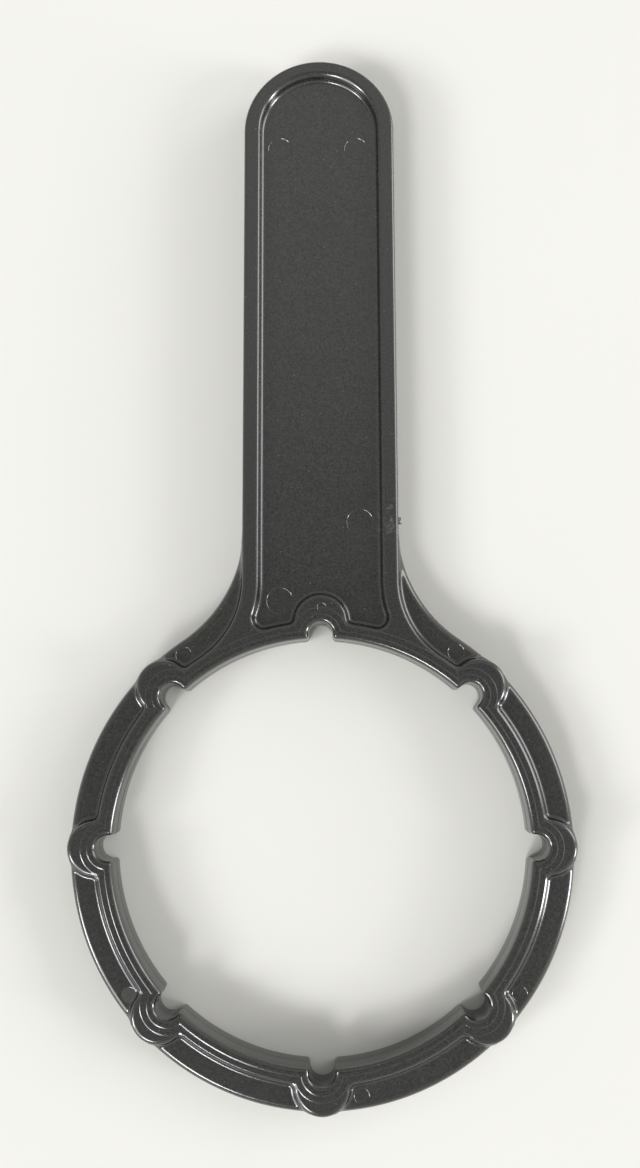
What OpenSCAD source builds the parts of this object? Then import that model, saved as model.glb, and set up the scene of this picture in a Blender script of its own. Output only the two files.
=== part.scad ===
// Filter housing wrench: a one-piece moulded ring spanner with a flat handle.
// A notched ring slips over a round filter bowl and the ribs of the bowl sit in the notches.
// Origin at the centre of the bore, half way through its thickness.
// +Z runs along the bore and +Y towards the handle end.
// The section is the same above and below the middle plane.

/* [Ring] */
// Diameter of the bore that slips over the filter bowl
bore_d = 118; // [104:1:132]
// Overall thickness, from underside to top
body_t = 13.5; // [11:0.5:18]
// Radial width of the raised rim round the bore
rim_w = 5; // [4.5:0.25:6]
// Radial width of the lower flange outside the rim
flange_w = 7.7; // [6:0.1:10]
// Thickness of the lower flange and of the handle panel
web_t = 7.5; // [4.5:0.5:8.5]

/* [Notches and lugs] */
// Number of notches, one of them on the handle axis
notch_count = 8; // [4:1:8]
// Width of a notch
notch_w = 6.8; // [5:0.2:7.6]
// Depth of a notch, measured out from the bore
notch_depth = 4.8; // [4.2:0.1:5.4]
// Radius of the rounded lips where a notch opens into the bore
lip_r = 1.2; // [0.8:0.1:1.4]
// Diameter of the round lug behind each notch
lug_d = 15.8; // [14:0.2:18]
// How far a lug stands out past the flange
lug_reach = 0.6; // [0.3:0.1:2]

/* [Handle] */
// Distance from the bore axis to the handle end
handle_l = 239; // [180:1:300]
// Width of the handle
handle_w = 46.3; // [40:0.1:52]
// Width of the raised border of the handle, to the wall of the panel
border_w = 5.15; // [4.2:0.05:6.5]
// Corner radius at the ring end of the panel
panel_corner_r = 3.3; // [2.6:0.1:5]
// Radius of the raised edge that leads from the handle to the rim
neck_r = 27; // [22:1:32]
// Radius of the outline that leads from the handle to the flange
outline_r = 40; // [34:1:48]

/* [Edges] */
// Rounding of the outer edges of the rim, flange, lugs and handle
edge_r = 1.1; // [0.6:0.1:1.3]
// Rounding of the bore edges
bore_edge_r = 0.6; // [0.3:0.1:0.8]
// Rounding of the upper edge of the panel wall
panel_edge_r = 0.8; // [0.5:0.1:1]

/* [Moulding marks] */
// Depth of the round ejector pin marks in the panel and the flange
pin_mark_depth = 0.15; // [0.05:0.05:0.4]
// Diameter of the pin marks in the panel
panel_pin_d = 7; // [5:0.5:9]
// Distance of the panel pin marks from the side walls of the panel
panel_pin_inset = 6.2; // [5:0.1:9]
// Distance of the two upper pin marks below the centre of the handle end
end_pin_drop = 4.6; // [2:0.2:8]
// Height of the right lower pin mark above the rim
right_pin_rise = 29.7; // [24:0.1:40]
// Height of the left lower pin mark above the rim
left_pin_rise = 6.9; // [6:0.1:12]
// Diameter of the pin marks in the flange
flange_pin_d = 4.4; // [3:0.2:5]
// Height of the broken-off gate stub on the side of the handle
gate_h = 0.5; // [0.2:0.1:1]
// Diameter of the gate stub
gate_d = 2.2; // [1.4:0.2:3]
// Height of the gate stub above the rim
gate_rise = 30.6; // [28:0.2:60]

/* [Hidden] */

// angles of the pin marks in the flange, from +X
flange_pin_angles = [54.3, 125.7, 217, 279.3, 323.8];
// small overlap that lets neighbouring arcs cross instead of only touching
cross = 0.2;
lip_cross = 0.03;
// length by which a piece runs into its neighbour
lap = 1;

bore_r = bore_d / 2;
rim_r = bore_r + rim_w;
flange_r = rim_r + flange_w;
web_z0 = (body_t - web_t) / 2;
web_z1 = body_t - web_z0;
rim_mid_r = bore_r + rim_w / 2;
flange_mid_r = rim_r + flange_w / 2;

notch_r = notch_w / 2;
notch_c = bore_r + notch_depth - notch_r;
// angles of the notches from +X, the first on the handle axis
notch_angles = [for (i = [0:notch_count - 1]) 90 + i * 360 / notch_count];
// centre of the lip arc: outside the bore by its radius, outside the notch by its radius
lip_d0 = bore_r + lip_r - lip_cross;
lip_d1 = notch_r + lip_r - lip_cross;
lip_y = (lip_d0 * lip_d0 - lip_d1 * lip_d1 + notch_c * notch_c) / (2 * notch_c);
lip_x = sqrt(lip_d0 * lip_d0 - lip_y * lip_y);

lug_r = lug_d / 2;
lug_c = flange_r + lug_reach - lug_r;

// edges that run into the rim or the flange are a little tighter than theirs
side_edge_r = edge_r * 0.85;

half_w = handle_w / 2;
panel_r = half_w - border_w;
end_c = handle_l - half_w;

// centre of the raised neck edge, beside the handle and outside the rim
neck_x = half_w + neck_r - cross;
neck_d = rim_r + neck_r - cross;
neck_y = sqrt(neck_d * neck_d - neck_x * neck_x);
neck_a = atan2(neck_y, neck_x);
// centre of the neck outline, beside the handle and outside the flange
outline_x = half_w + outline_r - cross;
outline_d = flange_r + outline_r - cross;
outline_y = sqrt(outline_d * outline_d - outline_x * outline_x);
outline_a = atan2(outline_y, outline_x);
// centre of the rounded lower corner of the panel
corner_x = panel_r - panel_corner_r + cross;
corner_d = rim_r + panel_corner_r - cross;
corner_y = sqrt(corner_d * corner_d - corner_x * corner_x);
corner_a = atan2(corner_y, corner_x);

round_n = 3;
ring_fn = 144;
neck_fn = 120;
lug_fn = 48;
small_fn = 32;

// points of an arc about (x, y) from angle a0 to a1
function arc_pts(x, y, r, a0, a1) =
    [for (i = [0:round_n]) let (a = a0 + (a1 - a0) * i / round_n) [x + r * cos(a), y + r * sin(a)]];
function polar(r, a) = [r * cos(a), r * sin(a)];
// the same path mirrored about the middle plane, run backwards
function below(pts) = [for (i = [len(pts) - 1:-1:0]) [pts[i][0], body_t - pts[i][1]]];
function mirror_x(pts) = [for (i = [len(pts) - 1:-1:0]) [-pts[i][0], pts[i][1]]];
// an arc's points and one more, two steps further on
function run_out(pts) =
    let (n = len(pts) - 1)
    concat(pts, [pts[n] + 2 * (pts[n] - pts[n - 1])]);

// upper half of the ring section, from the bore out to the flange edge
ring_top = concat(
    arc_pts(bore_r + bore_edge_r, body_t - bore_edge_r, bore_edge_r, 180, 90),
    arc_pts(rim_r - edge_r, body_t - edge_r, edge_r, 90, 0),
    [[rim_r, web_z1]],
    arc_pts(flange_r - edge_r, web_z1 - edge_r, edge_r, 90, 0));
// upper half of the handle section, from the middle of the panel out to the side
handle_top = concat(
    [[0, web_z1], [panel_r, web_z1]],
    arc_pts(panel_r + panel_edge_r, body_t - panel_edge_r, panel_edge_r, 180, 90),
    arc_pts(half_w - edge_r, body_t - edge_r, edge_r, 90, 0));
lug_top = concat([[0, body_t]], arc_pts(lug_r - side_edge_r, body_t - side_edge_r, side_edge_r, 90, 0));

// closed section made of an upper half and its mirror image below
module section(top) {
    polygon(concat(top, below(top)));
}

// round cutter of radius r whose flared ends leave an edge of radius e at height z and its mirror
module round_cut(r, e, z) {
    top = run_out(arc_pts(r + e, z - e, e, 180, 90));
    rotate_extrude($fn = neck_fn)
        section(concat(top, [[0, top[len(top) - 1][1]]]));
}

module both_sides() {
    children();
    mirror([1, 0, 0])
        children();
}

// raised rim and lower flange as one turned section
module ring() {
    rotate_extrude($fn = ring_fn)
        section(ring_top);
}

// round lugs behind the notches, kept clear of the bore
module lugs() {
    difference() {
        for (a = notch_angles)
            translate(polar(lug_c, a))
                rotate_extrude($fn = lug_fn)
                    section(lug_top);
        translate([0, 0, -lap])
            cylinder(r = rim_mid_r, h = body_t + 2 * lap, $fn = ring_fn);
    }
}

// plan of a notch: a round seat that opens into the bore between two rounded lips
module notch_plan() {
    translate([0, notch_c])
        circle(r = notch_r, $fn = lug_fn);
    difference() {
        polygon([
            [-lip_x, lip_y],
            [0, notch_c],
            [lip_x, lip_y],
            [lip_x, bore_r - 2 * lap],
            [-lip_x, bore_r - 2 * lap]]);
        translate([lip_x, lip_y])
            circle(r = lip_r, $fn = small_fn);
        translate([-lip_x, lip_y])
            circle(r = lip_r, $fn = small_fn);
    }
}

module notches() {
    for (a = notch_angles)
        rotate([0, 0, a - 90])
            translate([0, 0, -lap])
                linear_extrude(body_t + 2 * lap)
                    notch_plan();
}

// straight part of the handle, from the panel corners to the round end
module handle_bar() {
    translate([0, end_c, 0])
        rotate([90, 0, 0])
            linear_extrude(end_c - corner_y + 2 * lap)
                polygon(concat(
                    mirror_x(handle_top),
                    handle_top,
                    below(handle_top),
                    mirror_x(below(handle_top))));
}

module handle_end() {
    translate([0, end_c, 0])
        rotate_extrude(angle = 180, $fn = neck_fn)
            section(handle_top);
}

// raised leg between the handle border and the rim, hollowed on both sides
module neck_leg() {
    difference() {
        linear_extrude(body_t)
            difference() {
                polygon([
                    [panel_r + lap, neck_y + lap],
                    [neck_x, neck_y + lap],
                    polar(rim_mid_r, neck_a),
                    polar(rim_mid_r, corner_a),
                    [corner_x, corner_y],
                    [panel_r + lap, corner_y]]);
                translate([corner_x, corner_y])
                    circle(r = panel_corner_r, $fn = lug_fn);
            }
        translate([neck_x, neck_y, 0])
            round_cut(neck_r, edge_r, body_t);
    }
}

// lower web that spreads from the handle to the flange
module neck_web() {
    side = [[outline_x, outline_y + lap], polar(flange_mid_r, outline_a)];
    difference() {
        translate([0, 0, web_z0])
            linear_extrude(web_t)
                difference() {
                    polygon(concat(side, mirror_x(side)));
                    circle(r = rim_mid_r, $fn = ring_fn);
                }
        both_sides()
            translate([outline_x, outline_y, 0])
                round_cut(outline_r, side_edge_r, web_z1);
    }
}

// shallow round mark left by an ejector pin, on the upper side only
module pin_mark(x, y, d) {
    translate([x, y, web_z1 - pin_mark_depth])
        cylinder(d = d, h = 2 * pin_mark_depth, $fn = small_fn);
}

module pin_marks() {
    pin_x = panel_r - panel_pin_inset;
    pin_mark(-pin_x, end_c - end_pin_drop, panel_pin_d);
    pin_mark(pin_x, end_c - end_pin_drop, panel_pin_d);
    pin_mark(pin_x, rim_r + right_pin_rise, panel_pin_d);
    pin_mark(-pin_x, rim_r + left_pin_rise, panel_pin_d);
    for (a = flange_pin_angles)
        pin_mark(flange_mid_r * cos(a), flange_mid_r * sin(a), flange_pin_d);
}

// stub of the broken-off gate on the parting line
module gate_stub() {
    translate([half_w - lap, rim_r + gate_rise, body_t / 2])
        rotate([0, 90, 0])
            cylinder(d1 = gate_d + lap, d2 = gate_d - gate_h, h = lap + gate_h, $fn = small_fn);
}

module wrench() {
    color([0.05, 0.05, 0.05])
        translate([0, 0, -body_t / 2])
            difference() {
                union() {
                    ring();
                    lugs();
                    handle_bar();
                    handle_end();
                    both_sides()
                        neck_leg();
                    neck_web();
                    gate_stub();
                }
                notches();
                pin_marks();
            }
}

wrench();
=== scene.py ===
"""Filter housing wrench: one black moulding lying on a pale table.

The moulding is built from four plan loops of tangent arcs and from the profiles of its edges.
Plan sizes are in millimetres, and the mesh is scaled to metres when it is made.
"""

import math

import bpy
import numpy as np
from mathutils import Matrix
from mathutils.geometry import delaunay_2d_cdt


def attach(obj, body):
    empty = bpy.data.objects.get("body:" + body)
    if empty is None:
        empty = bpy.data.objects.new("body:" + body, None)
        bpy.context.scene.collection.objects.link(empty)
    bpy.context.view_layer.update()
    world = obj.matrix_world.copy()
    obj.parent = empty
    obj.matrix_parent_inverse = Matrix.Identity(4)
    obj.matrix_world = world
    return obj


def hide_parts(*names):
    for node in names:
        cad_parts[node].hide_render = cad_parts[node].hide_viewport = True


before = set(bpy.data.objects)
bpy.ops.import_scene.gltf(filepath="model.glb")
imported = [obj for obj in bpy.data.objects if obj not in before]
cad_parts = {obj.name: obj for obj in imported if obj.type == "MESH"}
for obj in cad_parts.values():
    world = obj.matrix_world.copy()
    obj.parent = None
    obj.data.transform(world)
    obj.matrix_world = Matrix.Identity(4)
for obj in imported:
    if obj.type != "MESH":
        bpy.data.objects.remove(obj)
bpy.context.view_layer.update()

MM = 0.001

# Heights above the middle plane
TOP = 6.75
WEB = 3.75
RISE = TOP - WEB

# Walls lean out from their upper edge to the parting line, where a thin ridge stands
DRAFT = 0.16
RIDGE = 0.05
LEAN = DRAFT + RIDGE
# the outside keeps just within the faceted solid
INSET = LEAN + 0.04

# Bore, notches and lips
BORE_R = 59.0 + LEAN
NOTCH_R = 3.4 + LEAN
NOTCH_C = 60.4
LIP_R = 1.2 - LEAN
NOTCH_ANGLES = [math.radians(90 + 45 * i) for i in range(8)]

# Ring, lugs and handle
RIM_R = 64.0
FLANGE_R = 71.85 - INSET
LUG_C = 64.4
LUG_R = 7.9 - INSET
HALF_W = 23.15 - INSET
PANEL_R = 18.0
END_C = 215.85
NECK_R = 27.0
OUTLINE_R = 40.0
CORNER_R = 3.3
RIM_FILLET = 2.0
FLANGE_FILLET = 1.5

# Angles to either side of a lug and of a notch, which tell its two flanks apart
LUG_ASIDE = 0.2
NOTCH_ASIDE = 0.1

# Edge profiles
EDGE_R = 1.1
OUTLINE_EDGE_R = 1.8
FOOT_R = 1.2
WALL_W = 0.25
# a lug's edge grows rounder about this far beyond its centre, over this width;
# the margin is how far beside the lug that still holds
LUG_EDGE_R = 1.5
LUG_ROUND_AT = 2.5
LUG_ROUND_W = 5
LUG_MARGIN = 1
# the panel's edge grows rounder about this far beyond the centre of the handle end, over this width
PANEL_EDGE_R = 1.05
PANEL_END_EDGE_R = 1.75
PANEL_END_AT = 7
PANEL_END_W = 14
# the bore's edge is sharper within about this distance of a notch's centre, and changes over this width
BORE_EDGE_R = 1.3
NOTCH_EDGE_R = 1.2
NOTCH_ROUND_AT = 6
NOTCH_ROUND_W = 2.5

# Rows of a wall below its upper edge: height as a share of that edge's or in millimetres, and lean
WALL_ROWS = [
    (0.5, None, DRAFT * 0.5),
    (None, 0.16, DRAFT),
    (None, 0.07, DRAFT + RIDGE * 0.7),
    (None, 0.0, LEAN),
]

# Terraces left by the mould cutter: distance from the bore contour, and the drop there
TERRACES = [(2.2, 0.115), (4.1, 0.125)]
TERRACE_W = 0.42

# Ejector pin marks, sunk into the panel and the flange: x, y, radius, depth
PIN_MARKS = [
    (-12.1, 211.2, 3.5, 0.13),
    (11.4, 210.9, 3.5, 0.13),
    (11.7, 93.7, 3.85, 0.13),
    (-11.9, 70.4, 3.85, 0.13),
    (-39.8, 54.7, 2.35, 0.13),
    (39.2, 55.2, 2.35, 0.13),
    (-53.9, -40.3, 2.1, 0.06),
    (55.0, -40.0, 2.1, 0.11),
    (10.9, -67.0, 2.1, 0.11),
    (0.3, 68.2, 1.25, 0.11),
]
PIN_EDGE = 0.22

# Broken gate on the right side of the handle: place along it, radius and height
GATE_Y = 94.6
GATE_R = 1.1
GATE_H = 1.0
# its rings, as shares of the height and of the radius, from inside the wall to the hollow of the break
GATE_RINGS = [(-0.9, 1.0), (0.1, 1.0), (0.7, 0.9), (0.95, 0.7), (0.75, 0.45), (0.45, 0.2)]
# the break is uneven above this share of the height
GATE_TORN_FROM = 0.5

# Paler spots, in metres: place, reach, width of the edge, and share of the pale colour
SCUFF = ((0.0225, 0.0935, 0.0068), 0.0085, 0.006, 0.45)
# painted sheen: the paler disc on the lower-left pin mark stands in for the light its duller surface
# spreads
PAINTED_PIN_SHEEN = ((-0.0539, -0.0403, 0.0037), 0.0023, 0.0003, 0.24)

# The table reaches beyond any view, and its colour darkens far from the wrench as painted shade: sizes in
# metres
FLOOR_HALF = 40.0
FADE_FROM = 0.7
FADE_TO = 3.5

# Lamps: name, azimuth from +X, elevation and angular width in degrees, and strength
LAMPS = [
    ("right_wall", 22, 20, 34, 0.8),
    ("right_window_low", -15, 9, 13, 0.65),
    ("right_window_high", -15, 22, 13, 0.65),
    ("left_wall", 221, 34, 40, 0.98),
    ("left_window_low", 205, 29, 14, 0.74),
    ("left_window_high", 243, 41, 14, 0.74),
]

# Camera: place in metres, turns about X, Y and Z in degrees, and focal length in image pixels
CAMERA_PLACE = (0.00537, 0.0294, 0.33316)
CAMERA_TURNS = (-7.936, -0.952, 0.332)
FOCAL_PX = 1137.1
IMAGE_W_PX = 640
SENSOR_W = 36

# Mesh resolution
ARC_STEP = 1.1
ARC_TURN = math.radians(9)
LINE_STEP = 12.0
ROUND_STEPS = 6
PIN_POINTS = 40
GATE_POINTS = 24
NORMAL_EPS = 0.004
RAMP_SIDES = (-0.5, -0.25, 0.0, 0.25, 0.5)

# Tolerances of the plan, in millimetres or radians, and a distance beyond any in it
TOUCHING = 1e-4
SLACK = 1e-7
CLEAR = 0.02
ON_LINE = 1e-3
MERGE = 1e-6
FAR = 1e9


def polar(r, a):
    return np.array([r * math.cos(a), r * math.sin(a)])


def heading(start, end):
    """Angle of the direction from start to end."""
    return math.atan2(end[1] - start[1], end[0] - start[0])


def meet(c0, r0, c1, r1, near):
    """The crossing of two circles that lies nearer to a point."""
    c0, c1 = np.asarray(c0, float), np.asarray(c1, float)
    gap = np.linalg.norm(c1 - c0)
    along = (gap * gap + r0 * r0 - r1 * r1) / (2 * gap)
    off = math.sqrt(r0 * r0 - along * along)
    u = (c1 - c0) / gap
    sides = [c0 + along * u + s * off * np.array([-u[1], u[0]]) for s in (1, -1)]
    return min(sides, key=lambda p: np.linalg.norm(p - near))


class Arc:
    """Arc about c from angle a0 to a1, counter-clockwise (turn 1) or clockwise (turn -1)."""

    def __init__(self, c, r, a0, a1, turn):
        self.c = np.asarray(c, float)
        self.r = r
        self.a0 = a0
        self.turn = turn
        self.sweep = ((a1 - a0) * turn) % (2 * math.pi)

    def at(self, t, offset=0.0):
        a = self.a0 + self.turn * self.sweep * np.asarray(t)
        r = self.r - self.turn * offset
        return self.c + r * np.stack([np.cos(a), np.sin(a)], axis=-1)

    def steps(self):
        return max(2, math.ceil(max(self.sweep * self.r / ARC_STEP, self.sweep / ARC_TURN)))

    def distance(self, p):
        """Signed distance of each point, and whether the arc faces it."""
        v = p - self.c
        a = ((np.arctan2(v[:, 1], v[:, 0]) - self.a0) * self.turn + SLACK) % (2 * math.pi)
        return self.turn * (self.r - np.hypot(v[:, 0], v[:, 1])), a <= self.sweep + 2 * SLACK


class Line:
    """Straight line from p0 to p1."""

    def __init__(self, p0, p1):
        self.p0 = p0
        self.u = (p1 - p0) / np.linalg.norm(p1 - p0)
        self.length = np.linalg.norm(p1 - p0)
        self.left = np.array([-self.u[1], self.u[0]])

    def at(self, t, offset=0.0):
        return self.p0 + np.outer(np.asarray(t) * self.length, self.u) + offset * self.left

    def steps(self):
        return max(1, math.ceil(self.length / LINE_STEP))

    def distance(self, p):
        v = p - self.p0
        t = v @ self.u
        return v @ self.left, (t >= -SLACK) & (t <= self.length + SLACK)


class Loop:
    """Closed chain of tangent arcs, with straight lines between arcs that don't touch.

    Distances are positive on the left of the chain.
    """

    def __init__(self, arcs):
        self.parts = []
        for arc, after in zip(arcs, arcs[1:] + arcs[:1]):
            self.parts.append(arc)
            end, start = arc.at(1.0), after.at(0.0)
            if np.linalg.norm(start - end) > TOUCHING:
                self.parts.append(Line(end, start))

    def trace(self, offset=0.0):
        return np.concatenate(
            [part.at(np.arange(part.steps()) / part.steps(), offset) for part in self.parts]
        )

    def distance(self, p):
        signed = np.full(len(p), -FAR)
        for part in self.parts:
            d, facing = part.distance(p)
            nearer = facing & (np.abs(d) < np.abs(signed))
            signed[nearer] = d[nearer]
        return signed


def lug_arcs(angle, wall_r, fillet_r):
    """Fillet, lug and fillet of one lug on a wall, counter-clockwise about the ring."""
    lug = polar(LUG_C, angle)
    reach = (wall_r + fillet_r, lug, LUG_R + fillet_r)
    before = meet((0, 0), *reach, polar(wall_r, angle - LUG_ASIDE))
    after = meet((0, 0), *reach, polar(wall_r, angle + LUG_ASIDE))
    return [
        Arc(before, fillet_r, heading(before, (0, 0)), heading(before, lug), -1),
        Arc(lug, LUG_R, heading(lug, before), heading(lug, after), 1),
        Arc(after, fillet_r, heading(after, lug), heading(after, (0, 0)), -1),
    ]


def body_loop(wall_r, fillet_r, side_r):
    """Handle, side arcs of radius side_r, and a ring wall with seven lugs."""
    x = HALF_W + side_r
    y = math.sqrt((wall_r + side_r) ** 2 - x * x)
    arcs = [
        Arc((0, END_C), HALF_W, 0, math.pi, 1),
        Arc((-x, y), side_r, 0, heading((-x, y), (0, 0)), -1),
    ]
    start = heading((0, 0), (-x, y))
    for angle in NOTCH_ANGLES[1:]:
        lug = lug_arcs(angle, wall_r, fillet_r)
        arcs.append(Arc((0, 0), wall_r, start, heading((0, 0), lug[0].c), 1))
        arcs += lug
        start = heading((0, 0), lug[2].c)
    arcs.append(Arc((0, 0), wall_r, start, heading((0, 0), (x, y)), 1))
    arcs.append(Arc((x, y), side_r, heading((x, y), (0, 0)), math.pi, -1))
    return Loop(arcs)


def panel_loop():
    """Sunk panel of the handle: it widens with the neck and ends on the rim and the top lug."""
    neck_x = HALF_W + NECK_R
    neck_y = math.sqrt((RIM_R + NECK_R) ** 2 - neck_x * neck_x)
    neck = np.array([neck_x, neck_y])
    flare_r = neck_x - PANEL_R
    corner = meet((0, 0), RIM_R + CORNER_R, neck, flare_r + CORNER_R, (PANEL_R, RIM_R))
    flip = np.array([-1, 1])
    neck_l, corner_l = neck * flip, corner * flip
    lug = lug_arcs(NOTCH_ANGLES[0], RIM_R, RIM_FILLET)
    # the lug's arcs run the other way here, because the panel lies outside the rim
    back = [Arc(a.c, a.r, a.a0 + a.turn * a.sweep, a.a0, -a.turn) for a in reversed(lug)]
    return Loop([
        Arc((0, END_C), PANEL_R, 0, math.pi, 1),
        Arc(neck_l, flare_r, 0, heading(neck_l, corner_l), -1),
        Arc(corner_l, CORNER_R, heading(corner_l, neck_l), heading(corner_l, (0, 0)), 1),
        Arc((0, 0), RIM_R, heading((0, 0), corner_l), heading((0, 0), back[0].c), -1),
        *back,
        Arc((0, 0), RIM_R, heading((0, 0), back[2].c), heading((0, 0), corner), -1),
        Arc(corner, CORNER_R, heading(corner, (0, 0)), heading(corner, neck), 1),
        Arc(neck, flare_r, heading(neck, corner), math.pi, -1),
    ])


def lip_centre(angle, side):
    """Centre of the lip on one side of the notch at an angle."""
    notch = polar(NOTCH_C, angle)
    return meet((0, 0), BORE_R + LIP_R, notch, NOTCH_R + LIP_R, polar(BORE_R, angle + side))


def bore_loop():
    """Bore with its notches, run clockwise so that the plastic lies on the left."""
    arcs = []
    for angle, after in zip(NOTCH_ANGLES[::-1], NOTCH_ANGLES[-2::-1] + NOTCH_ANGLES[-1:]):
        notch = polar(NOTCH_C, angle)
        lips = [lip_centre(angle, side) for side in (NOTCH_ASIDE, -NOTCH_ASIDE)]
        ahead = lip_centre(after, NOTCH_ASIDE)
        arcs += [
            Arc(lips[0], LIP_R, heading(lips[0], (0, 0)), heading(lips[0], notch), 1),
            Arc(notch, NOTCH_R, heading(notch, lips[0]), heading(notch, lips[1]), -1),
            Arc(lips[1], LIP_R, heading(lips[1], notch), heading(lips[1], (0, 0)), 1),
            Arc((0, 0), BORE_R, heading((0, 0), lips[1]), heading((0, 0), ahead), -1),
        ]
    return Loop(arcs)


OUTLINE = body_loop(FLANGE_R, FLANGE_FILLET, OUTLINE_R)
RAISED = body_loop(RIM_R, RIM_FILLET, NECK_R)
PANEL = panel_loop()
BORE = bore_loop()


def rounded(d, r):
    """How far an edge of radius r has dropped at distance d inside it."""
    t = np.clip(r - d, 0, r)
    return r - np.sqrt(r * r - t * t)


def ramp(x, width):
    """Smooth rise from 0 to 1, centred on x = 0."""
    t = np.clip(x / width + 0.5, 0, 1)
    return t * t * (3 - 2 * t)


def step_height(d, edge_r):
    """Height of a raised face over the face below, at distance d inside its wall."""
    down = np.clip(-d / WALL_W, 0, 1)
    wall = (RISE - edge_r) * (1 - down) + FOOT_R * down
    outside = np.where(-d < WALL_W, wall, rounded(-d - WALL_W, FOOT_R))
    return np.where(d >= 0, RISE - rounded(d, edge_r), outside)


def raised_edge_r(p):
    """Round of the raised edges at plan points."""
    share = np.zeros(len(p))
    for angle in NOTCH_ANGLES[1:]:
        out = p @ polar(1, angle) - LUG_C
        side = np.abs(p @ polar(1, angle + math.pi / 2))
        near = side < LUG_R + LUG_MARGIN
        share = np.maximum(share, ramp(out - LUG_ROUND_AT, LUG_ROUND_W) * near)
    return EDGE_R + (LUG_EDGE_R - EDGE_R) * share


def panel_edge_r(p):
    """Round of the edge about the panel at plan points."""
    share = ramp(p[:, 1] - END_C - PANEL_END_AT, PANEL_END_W)
    return PANEL_EDGE_R + (PANEL_END_EDGE_R - PANEL_EDGE_R) * share


def bore_edge_r(p):
    """Round of the bore's edge at plan points."""
    notches = [polar(NOTCH_C, a) for a in NOTCH_ANGLES]
    off = np.min([np.hypot(p[:, 0] - c[0], p[:, 1] - c[1]) for c in notches], axis=0)
    share = ramp(off - NOTCH_ROUND_AT, NOTCH_ROUND_W)
    return NOTCH_EDGE_R + (BORE_EDGE_R - NOTCH_EDGE_R) * share


def height(p, pins):
    """Height of the upper surface at plan points."""
    raised = step_height(RAISED.distance(p), raised_edge_r(p))
    rise = np.minimum(raised, step_height(-PANEL.distance(p), panel_edge_r(p)))
    from_bore = BORE.distance(p)
    z = WEB + rise
    z -= rounded(OUTLINE.distance(p), OUTLINE_EDGE_R) * np.clip(1 - rise / FOOT_R, 0, 1)
    z -= rounded(from_bore, bore_edge_r(p))
    for d, drop in TERRACES:
        z -= drop * ramp(from_bore - d, TERRACE_W) * np.clip(rise / RISE, 0, 1)
    if pins:
        for x, y, r, depth in PIN_MARKS:
            z -= depth * ramp(r - np.hypot(p[:, 0] - x, p[:, 1] - y), PIN_EDGE)
    return z


def surface(p, pins):
    """Heights and normals of the upper surface at plan points."""
    dx = np.array([NORMAL_EPS, 0])
    dy = np.array([0, NORMAL_EPS])
    slope_x = (height(p + dx, pins) - height(p - dx, pins)) / (2 * NORMAL_EPS)
    slope_y = (height(p + dy, pins) - height(p - dy, pins)) / (2 * NORMAL_EPS)
    normals = np.stack([-slope_x, -slope_y, np.ones(len(p))], axis=1)
    normals /= np.linalg.norm(normals, axis=1)[:, None]
    return height(p, pins), normals


def round_offsets(r):
    """Distances inside an edge of radius r at even steps round it."""
    turns = [math.radians(90 * i / ROUND_STEPS) for i in range(1, ROUND_STEPS + 1)]
    return [r * (1 - math.cos(a)) for a in turns]


class Plan:
    """Plan points and the edges that the mesh has to follow."""

    def __init__(self):
        self.points = []
        self.edges = []

    def add(self, points, keep=None):
        """Adds a closed polyline, or the stretches of it that are kept."""
        n = len(points)
        keep = np.ones(n, bool) if keep is None else keep
        index = np.cumsum(keep) - 1 + sum(len(p) for p in self.points)
        after = np.roll(np.arange(n), -1)
        linked = keep & keep[after]
        self.points.append(points[keep])
        self.edges += list(zip(index[linked].tolist(), index[after][linked].tolist()))


def plan_lines():
    """Every line that the upper surface bends along."""
    plan = Plan()
    plan.add(OUTLINE.trace())
    plan.add(BORE.trace())
    for d in round_offsets(OUTLINE_EDGE_R):
        line = OUTLINE.trace(d)
        plan.add(line, RAISED.distance(line) < -CLEAR)
    feet = [WALL_W] + [WALL_W + d for d in round_offsets(FOOT_R)]
    for d in [0.0] + round_offsets(LUG_EDGE_R) + [-s for s in feet]:
        line = RAISED.trace(d)
        plan.add(line, OUTLINE.distance(line) > (CLEAR if d <= 0 else 0))
    for d in [0.0] + [-s for s in round_offsets(PANEL_END_EDGE_R)] + feet:
        plan.add(PANEL.trace(d))
    steps = [d + side * TERRACE_W for d, _ in TERRACES for side in RAMP_SIDES]
    for d in round_offsets(BORE_EDGE_R) + steps:
        line = BORE.trace(d)
        true = np.abs(BORE.distance(line) - d) < ON_LINE
        level = (RAISED.distance(line) > EDGE_R) & (PANEL.distance(line) < -PANEL_EDGE_R)
        plan.add(line, true & level)
    turn = np.linspace(0, 2 * math.pi, PIN_POINTS, endpoint=False)
    circle = np.stack([np.cos(turn), np.sin(turn)], axis=1)
    for x, y, r, _ in PIN_MARKS:
        for side in RAMP_SIDES:
            plan.add(np.array([x, y]) + (r + side * PIN_EDGE) * circle)
    return np.concatenate(plan.points), plan.edges


def mesh_plan():
    """Triangles of the plan, counter-clockwise, with the bore left open."""
    points, edges = plan_lines()
    verts, _, faces, *_ = delaunay_2d_cdt([tuple(p) for p in points], edges, [], 0, MERGE)
    points = np.array([(v[0], v[1]) for v in verts])
    tris = np.array([f for f in faces if len(f) == 3])
    middle = points[tris].mean(axis=1)
    tris = tris[(OUTLINE.distance(middle) > 0) & (BORE.distance(middle) > 0)]
    used, flat = np.unique(tris, return_inverse=True)
    points, tris = points[used], flat.reshape(-1, 3)
    a, b, c = (points[tris[:, k]] for k in range(3))
    area = (b[:, 0] - a[:, 0]) * (c[:, 1] - a[:, 1]) - (b[:, 1] - a[:, 1]) * (c[:, 0] - a[:, 0])
    tris[area < 0] = tris[area < 0][:, ::-1]
    return points, tris


def border_edges(tris):
    """Directed edges that belong to one triangle only."""
    edges = np.concatenate([tris[:, [0, 1]], tris[:, [1, 2]], tris[:, [2, 0]]])
    twins = set(map(tuple, edges.tolist()))
    return np.array([e for e in edges.tolist() if (e[1], e[0]) not in twins])


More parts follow.
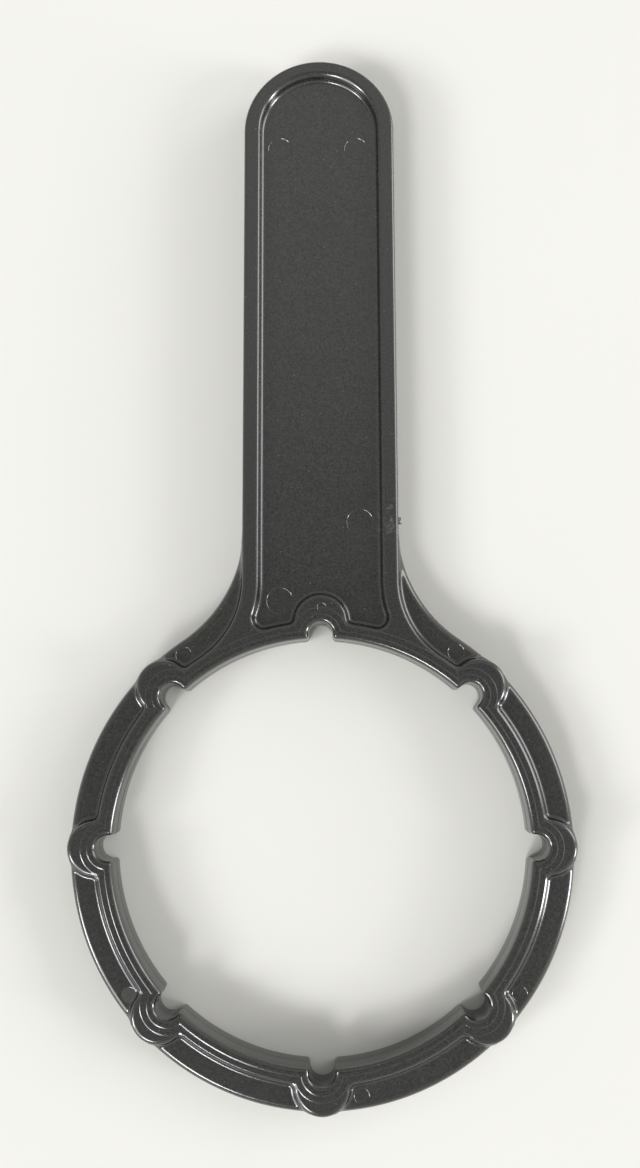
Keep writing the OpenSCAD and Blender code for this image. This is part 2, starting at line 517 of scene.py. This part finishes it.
def half_body(points, tris, pins):
    """Upper surface and the walls below it, down to the parting line at z = 0."""
    z, normals = surface(points, pins)
    verts = np.column_stack([points, z])
    edges = border_edges(tris)
    border = np.unique(edges)
    rows = {v: k for k, v in enumerate(border.tolist())}
    flat = normals[border] * [1, 1, 0]
    flat /= np.linalg.norm(flat, axis=1)[:, None]
    faces = tris.tolist()
    above = border
    for share, fixed, lean in WALL_ROWS:
        level = z[border] * share if fixed is None else np.full(len(border), fixed)
        row = np.column_stack([points[border] + flat[:, :2] * lean, level])
        below = len(verts) + np.arange(len(border))
        verts = np.concatenate([verts, row])
        normals = np.concatenate([normals, flat])
        for v0, v1 in edges.tolist():
            i, j = rows[v0], rows[v1]
            faces.append([above[j], above[i], below[i], below[j]])
        above = below
    return verts, normals, faces, len(border)


def gate_stub():
    """Points and faces of the broken gate: a low ragged nub at the parting line."""
    turn = np.linspace(0, 2 * math.pi, GATE_POINTS, endpoint=False)
    # uneven shares of the radius and of the height, round the nub
    ragged = 1 + 0.1 * np.sin(3 * turn + 0.5) + 0.06 * np.sin(7 * turn + 1)
    torn = 1 + 0.25 * np.sin(2 * turn + 2) + 0.15 * np.sin(5 * turn)
    verts = []
    for h, r in GATE_RINGS:
        x = HALF_W + GATE_H * h * (torn if h > GATE_TORN_FROM else np.ones(len(turn)))
        verts.append(np.column_stack([
            x,
            GATE_Y + GATE_R * r * ragged * np.cos(turn),
            GATE_R * r * ragged * np.sin(turn),
        ]))
    n = len(turn)
    faces = []
    for k in range(len(GATE_RINGS) - 1):
        for i in range(n):
            j = (i + 1) % n
            faces.append([k * n + i, k * n + j, (k + 1) * n + j, (k + 1) * n + i])
    faces.append(list(range(n))[::-1])
    faces.append([(len(GATE_RINGS) - 1) * n + i for i in range(n)])
    return np.concatenate(verts), faces


def moulding_mesh():
    """Closed mesh of the moulding: an upper and a lower half that share the parting line, and the gate."""
    points, tris = mesh_plan()
    upper, upper_n, faces, shared = half_body(points, tris, pins=True)
    lower, lower_n, lower_faces, _ = half_body(points, tris, pins=False)
    count = len(upper)
    free = count - shared
    index = np.concatenate([count + np.arange(free), np.arange(free, count)])
    faces = [[int(v) for v in f] for f in faces]
    faces += [[int(index[v]) for v in reversed(f)] for f in lower_faces]
    stub, stub_faces = gate_stub()
    faces += [[v + count + free for v in f] for f in stub_faces]
    verts = np.concatenate([upper, lower[:free] * [1, 1, -1], stub])
    # the stub takes the normals of its own faces
    normals = np.concatenate([upper_n, lower_n[:free] * [1, 1, -1], np.zeros_like(stub)])
    mesh = bpy.data.meshes.new("wrench_moulding")
    mesh.from_pydata((verts * MM).tolist(), [], faces)
    mesh.polygons.foreach_set("use_smooth", [True] * len(mesh.polygons))
    mesh.normals_split_custom_set_from_vertices(normals.tolist())
    return mesh


def new_material(name):
    material = bpy.data.materials.new(name)
    material.use_nodes = True
    tree = material.node_tree
    return material, tree, tree.nodes["Principled BSDF"]


def add_node(tree, kind, **settings):
    node = tree.nodes.new(kind)
    for name, value in settings.items():
        setattr(node, name, value)
    return node


def black_plastic():
    """Black plastic with a fine moulded grain, faint flow shading, a few specks, a pale scuff and painted
    sheen on one pin mark.
    """
    material, tree, shader = new_material("black_plastic_satin")
    link = tree.links.new
    coords = add_node(tree, "ShaderNodeTexCoord").outputs["Object"]

    grain = add_node(tree, "ShaderNodeTexNoise")
    grain.inputs["Scale"].default_value = 2000
    grain.inputs["Detail"].default_value = 2
    link(coords, grain.inputs["Vector"])
    cloud = add_node(tree, "ShaderNodeTexNoise")
    cloud.inputs["Scale"].default_value = 38
    cloud.inputs["Detail"].default_value = 3
    link(coords, cloud.inputs["Vector"])

    colour = add_node(tree, "ShaderNodeValToRGB")
    colour.color_ramp.elements[0].position = 0.3
    colour.color_ramp.elements[0].color = (0.004, 0.004, 0.004, 1)
    colour.color_ramp.elements[1].position = 0.7
    colour.color_ramp.elements[1].color = (0.036, 0.036, 0.035, 1)
    link(grain.outputs["Fac"], colour.inputs["Fac"])

    cells = add_node(tree, "ShaderNodeTexVoronoi")
    cells.inputs["Scale"].default_value = 330
    link(coords, cells.inputs["Vector"])
    speck = add_node(tree, "ShaderNodeMapRange")
    speck.inputs["From Min"].default_value = 0.05
    speck.inputs["From Max"].default_value = 0.025
    link(cells.outputs["Distance"], speck.inputs["Value"])
    dusty = add_node(tree, "ShaderNodeMix", data_type="RGBA")
    dusty.inputs["B"].default_value = (0.24, 0.24, 0.23, 1)
    link(speck.outputs["Result"], dusty.inputs["Factor"])
    link(colour.outputs["Color"], dusty.inputs["A"])

    def patch(place, reach, edge, share):
        """Spot about a place: full within reach less edge, and gone at reach."""
        away = add_node(tree, "ShaderNodeVectorMath", operation="DISTANCE")
        away.inputs[1].default_value = place
        link(coords, away.inputs[0])
        spot = add_node(tree, "ShaderNodeMapRange")
        spot.inputs["From Min"].default_value = reach
        spot.inputs["From Max"].default_value = reach - edge
        spot.inputs["To Max"].default_value = share
        link(away.outputs["Value"], spot.inputs["Value"])
        return spot.outputs["Result"]

    smear = add_node(tree, "ShaderNodeTexNoise")
    smear.inputs["Scale"].default_value = 420
    smear.inputs["Detail"].default_value = 4
    smear.inputs["Distortion"].default_value = 1.5
    link(coords, smear.inputs["Vector"])
    streak = add_node(tree, "ShaderNodeMapRange")
    streak.inputs["From Min"].default_value = 0.54
    streak.inputs["From Max"].default_value = 0.7
    link(smear.outputs["Fac"], streak.inputs["Value"])
    scuff = add_node(tree, "ShaderNodeMath", operation="MULTIPLY")
    link(patch(*SCUFF), scuff.inputs[0])
    link(streak.outputs["Result"], scuff.inputs[1])
    wear_and_sheen = add_node(tree, "ShaderNodeMath", operation="ADD")
    link(scuff.outputs["Value"], wear_and_sheen.inputs[0])
    # painted sheen: the pin mark's paler disc is added to the scuff's wear here
    link(patch(*PAINTED_PIN_SHEEN), wear_and_sheen.inputs[1])
    paler = add_node(tree, "ShaderNodeMix", data_type="RGBA")
    paler.inputs["B"].default_value = (0.2, 0.2, 0.2, 1)
    link(wear_and_sheen.outputs["Value"], paler.inputs["Factor"])
    link(dusty.outputs["Result"], paler.inputs["A"])
    link(paler.outputs["Result"], shader.inputs["Base Color"])

    rough = add_node(tree, "ShaderNodeMapRange")
    rough.inputs["To Min"].default_value = 0.15
    rough.inputs["To Max"].default_value = 0.22
    link(cloud.outputs["Fac"], rough.inputs["Value"])
    link(rough.outputs["Result"], shader.inputs["Roughness"])

    bump = add_node(tree, "ShaderNodeBump")
    bump.inputs["Strength"].default_value = 0.25
    bump.inputs["Distance"].default_value = 0.00004
    link(grain.outputs["Fac"], bump.inputs["Height"])
    link(bump.outputs["Normal"], shader.inputs["Normal"])
    shader.inputs["IOR"].default_value = 1.62
    shader.inputs["Specular IOR Level"].default_value = 1.0
    return material


def pale_table():
    """Pale matte table top with a very slight cloudiness, and painted shade that darkens it far from the
    wrench.
    """
    material, tree, shader = new_material("pale_table")
    link = tree.links.new
    coords = add_node(tree, "ShaderNodeTexCoord").outputs["Object"]
    cloud = add_node(tree, "ShaderNodeTexNoise")
    cloud.inputs["Scale"].default_value = 6
    link(coords, cloud.inputs["Vector"])
    colour = add_node(tree, "ShaderNodeValToRGB")
    colour.color_ramp.elements[0].color = (0.85, 0.845, 0.805, 1)
    colour.color_ramp.elements[1].color = (0.89, 0.885, 0.845, 1)
    link(cloud.outputs["Fac"], colour.inputs["Fac"])
    # painted shade: the table's colour darkens far from the wrench
    away = add_node(tree, "ShaderNodeVectorMath", operation="LENGTH")
    link(coords, away.inputs[0])
    fade = add_node(tree, "ShaderNodeMapRange", interpolation_type="SMOOTHSTEP")
    fade.inputs["From Min"].default_value = FADE_FROM
    fade.inputs["From Max"].default_value = FADE_TO
    link(away.outputs["Value"], fade.inputs["Value"])
    painted_far_shade = add_node(tree, "ShaderNodeMix", data_type="RGBA")
    painted_far_shade.inputs["B"].default_value = (0.6, 0.6, 0.585, 1)
    link(fade.outputs["Result"], painted_far_shade.inputs["Factor"])
    link(colour.outputs["Color"], painted_far_shade.inputs["A"])
    link(painted_far_shade.outputs["Result"], shader.inputs["Base Color"])
    shader.inputs["Roughness"].default_value = 0.6
    shader.inputs["Specular IOR Level"].default_value = 0.0
    return material


def add_object(name, data):
    piece = bpy.data.objects.new(name, data)
    bpy.context.scene.collection.objects.link(piece)
    return piece


def add_floor():
    mesh = bpy.data.meshes.new("table")
    s = FLOOR_HALF
    mesh.from_pydata([(-s, -s, 0), (s, -s, 0), (s, s, 0), (-s, s, 0)], [], [(0, 1, 2, 3)])
    mesh.materials.append(pale_table())
    floor = add_object("table", mesh)
    floor.location.z = -TOP * MM


def add_lamp(name, azimuth, elevation, width, strength):
    """Distant soft light at an azimuth from +X; width is the angle that it fills."""
    lamp = bpy.data.lights.new(name, "SUN")
    lamp.angle = math.radians(width)
    lamp.energy = strength
    a, e = math.radians(azimuth), math.radians(elevation)
    away = np.array([math.cos(e) * math.cos(a), math.cos(e) * math.sin(a), math.sin(e)])
    side = np.array([-math.sin(a), math.cos(a), 0.0])
    up = np.cross(away, side)
    holder = add_object(name, lamp)
    holder.matrix_world = Matrix((
        (side[0], up[0], away[0], away[0]),
        (side[1], up[1], away[1], away[1]),
        (side[2], up[2], away[2], away[2]),
        (0, 0, 0, 1),
    ))


def add_world():
    """Dim room, lighter low down, towards the right, and overhead towards the handle end."""
    world = bpy.data.worlds.new("room")
    world.use_nodes = True
    tree = world.node_tree
    link = tree.links.new
    sky = tree.nodes["Background"]
    sky.inputs["Color"].default_value = (1.0, 1.0, 0.98, 1)
    axes = add_node(tree, "ShaderNodeSeparateXYZ")
    link(add_node(tree, "ShaderNodeTexCoord").outputs["Generated"], axes.inputs["Vector"])

    def graded(axis, low, high, start, end):
        grade = add_node(tree, "ShaderNodeMapRange")
        values = (("From Min", low), ("From Max", high), ("To Min", start), ("To Max", end))
        for name, value in values:
            grade.inputs[name].default_value = value
        link(axes.outputs[axis], grade.inputs["Value"])
        return grade.outputs["Result"]

    def combined(operation, first, second):
        node = add_node(tree, "ShaderNodeMath", operation=operation)
        link(first, node.inputs[0])
        link(second, node.inputs[1])
        return node.outputs["Value"]

    overhead = graded("Z", 0.6, 0.85, 0.0, 1.0)
    total = combined("MULTIPLY", graded("Y", 0.05, 0.5, 0.0, 0.16), overhead)
    total = combined("ADD", total, graded("Z", 0.0, 1.0, 0.46, 0.3))
    total = combined("ADD", total, graded("X", 0.1, 0.9, 0.0, 0.3))
    # the ceiling is darker straight above
    total = combined("SUBTRACT", total, graded("Z", 0.955, 0.995, 0.0, 0.1))
    link(total, sky.inputs["Strength"])
    bpy.context.scene.world = world


def add_lamps():
    for lamp in LAMPS:
        add_lamp(*lamp)


def add_camera():
    """Camera above the wrench, as fitted to the photograph's ring and handle."""
    turns = zip(CAMERA_TURNS, "XYZ")
    about_x, about_y, about_z = (Matrix.Rotation(math.radians(d), 3, axis) for d, axis in turns)
    to_camera = about_z @ about_y @ about_x
    lens = bpy.data.cameras.new("camera")
    lens.sensor_fit = "HORIZONTAL"
    lens.sensor_width = SENSOR_W
    lens.lens = SENSOR_W * FOCAL_PX / IMAGE_W_PX
    lens.clip_start = 0.01
    camera = add_object("camera", lens)
    place = Matrix.Translation(CAMERA_PLACE)
    camera.matrix_world = place @ to_camera.transposed().to_4x4()
    bpy.context.scene.camera = camera


def add_wrench():
    mesh = moulding_mesh()
    mesh.materials.append(black_plastic())
    piece = add_object("wrench_moulding", mesh)
    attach(piece, "root")
    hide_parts("wrench")


add_camera()
add_world()
add_lamps()
add_floor()
add_wrench()

bpy.context.scene.view_settings.view_transform = "Standard"
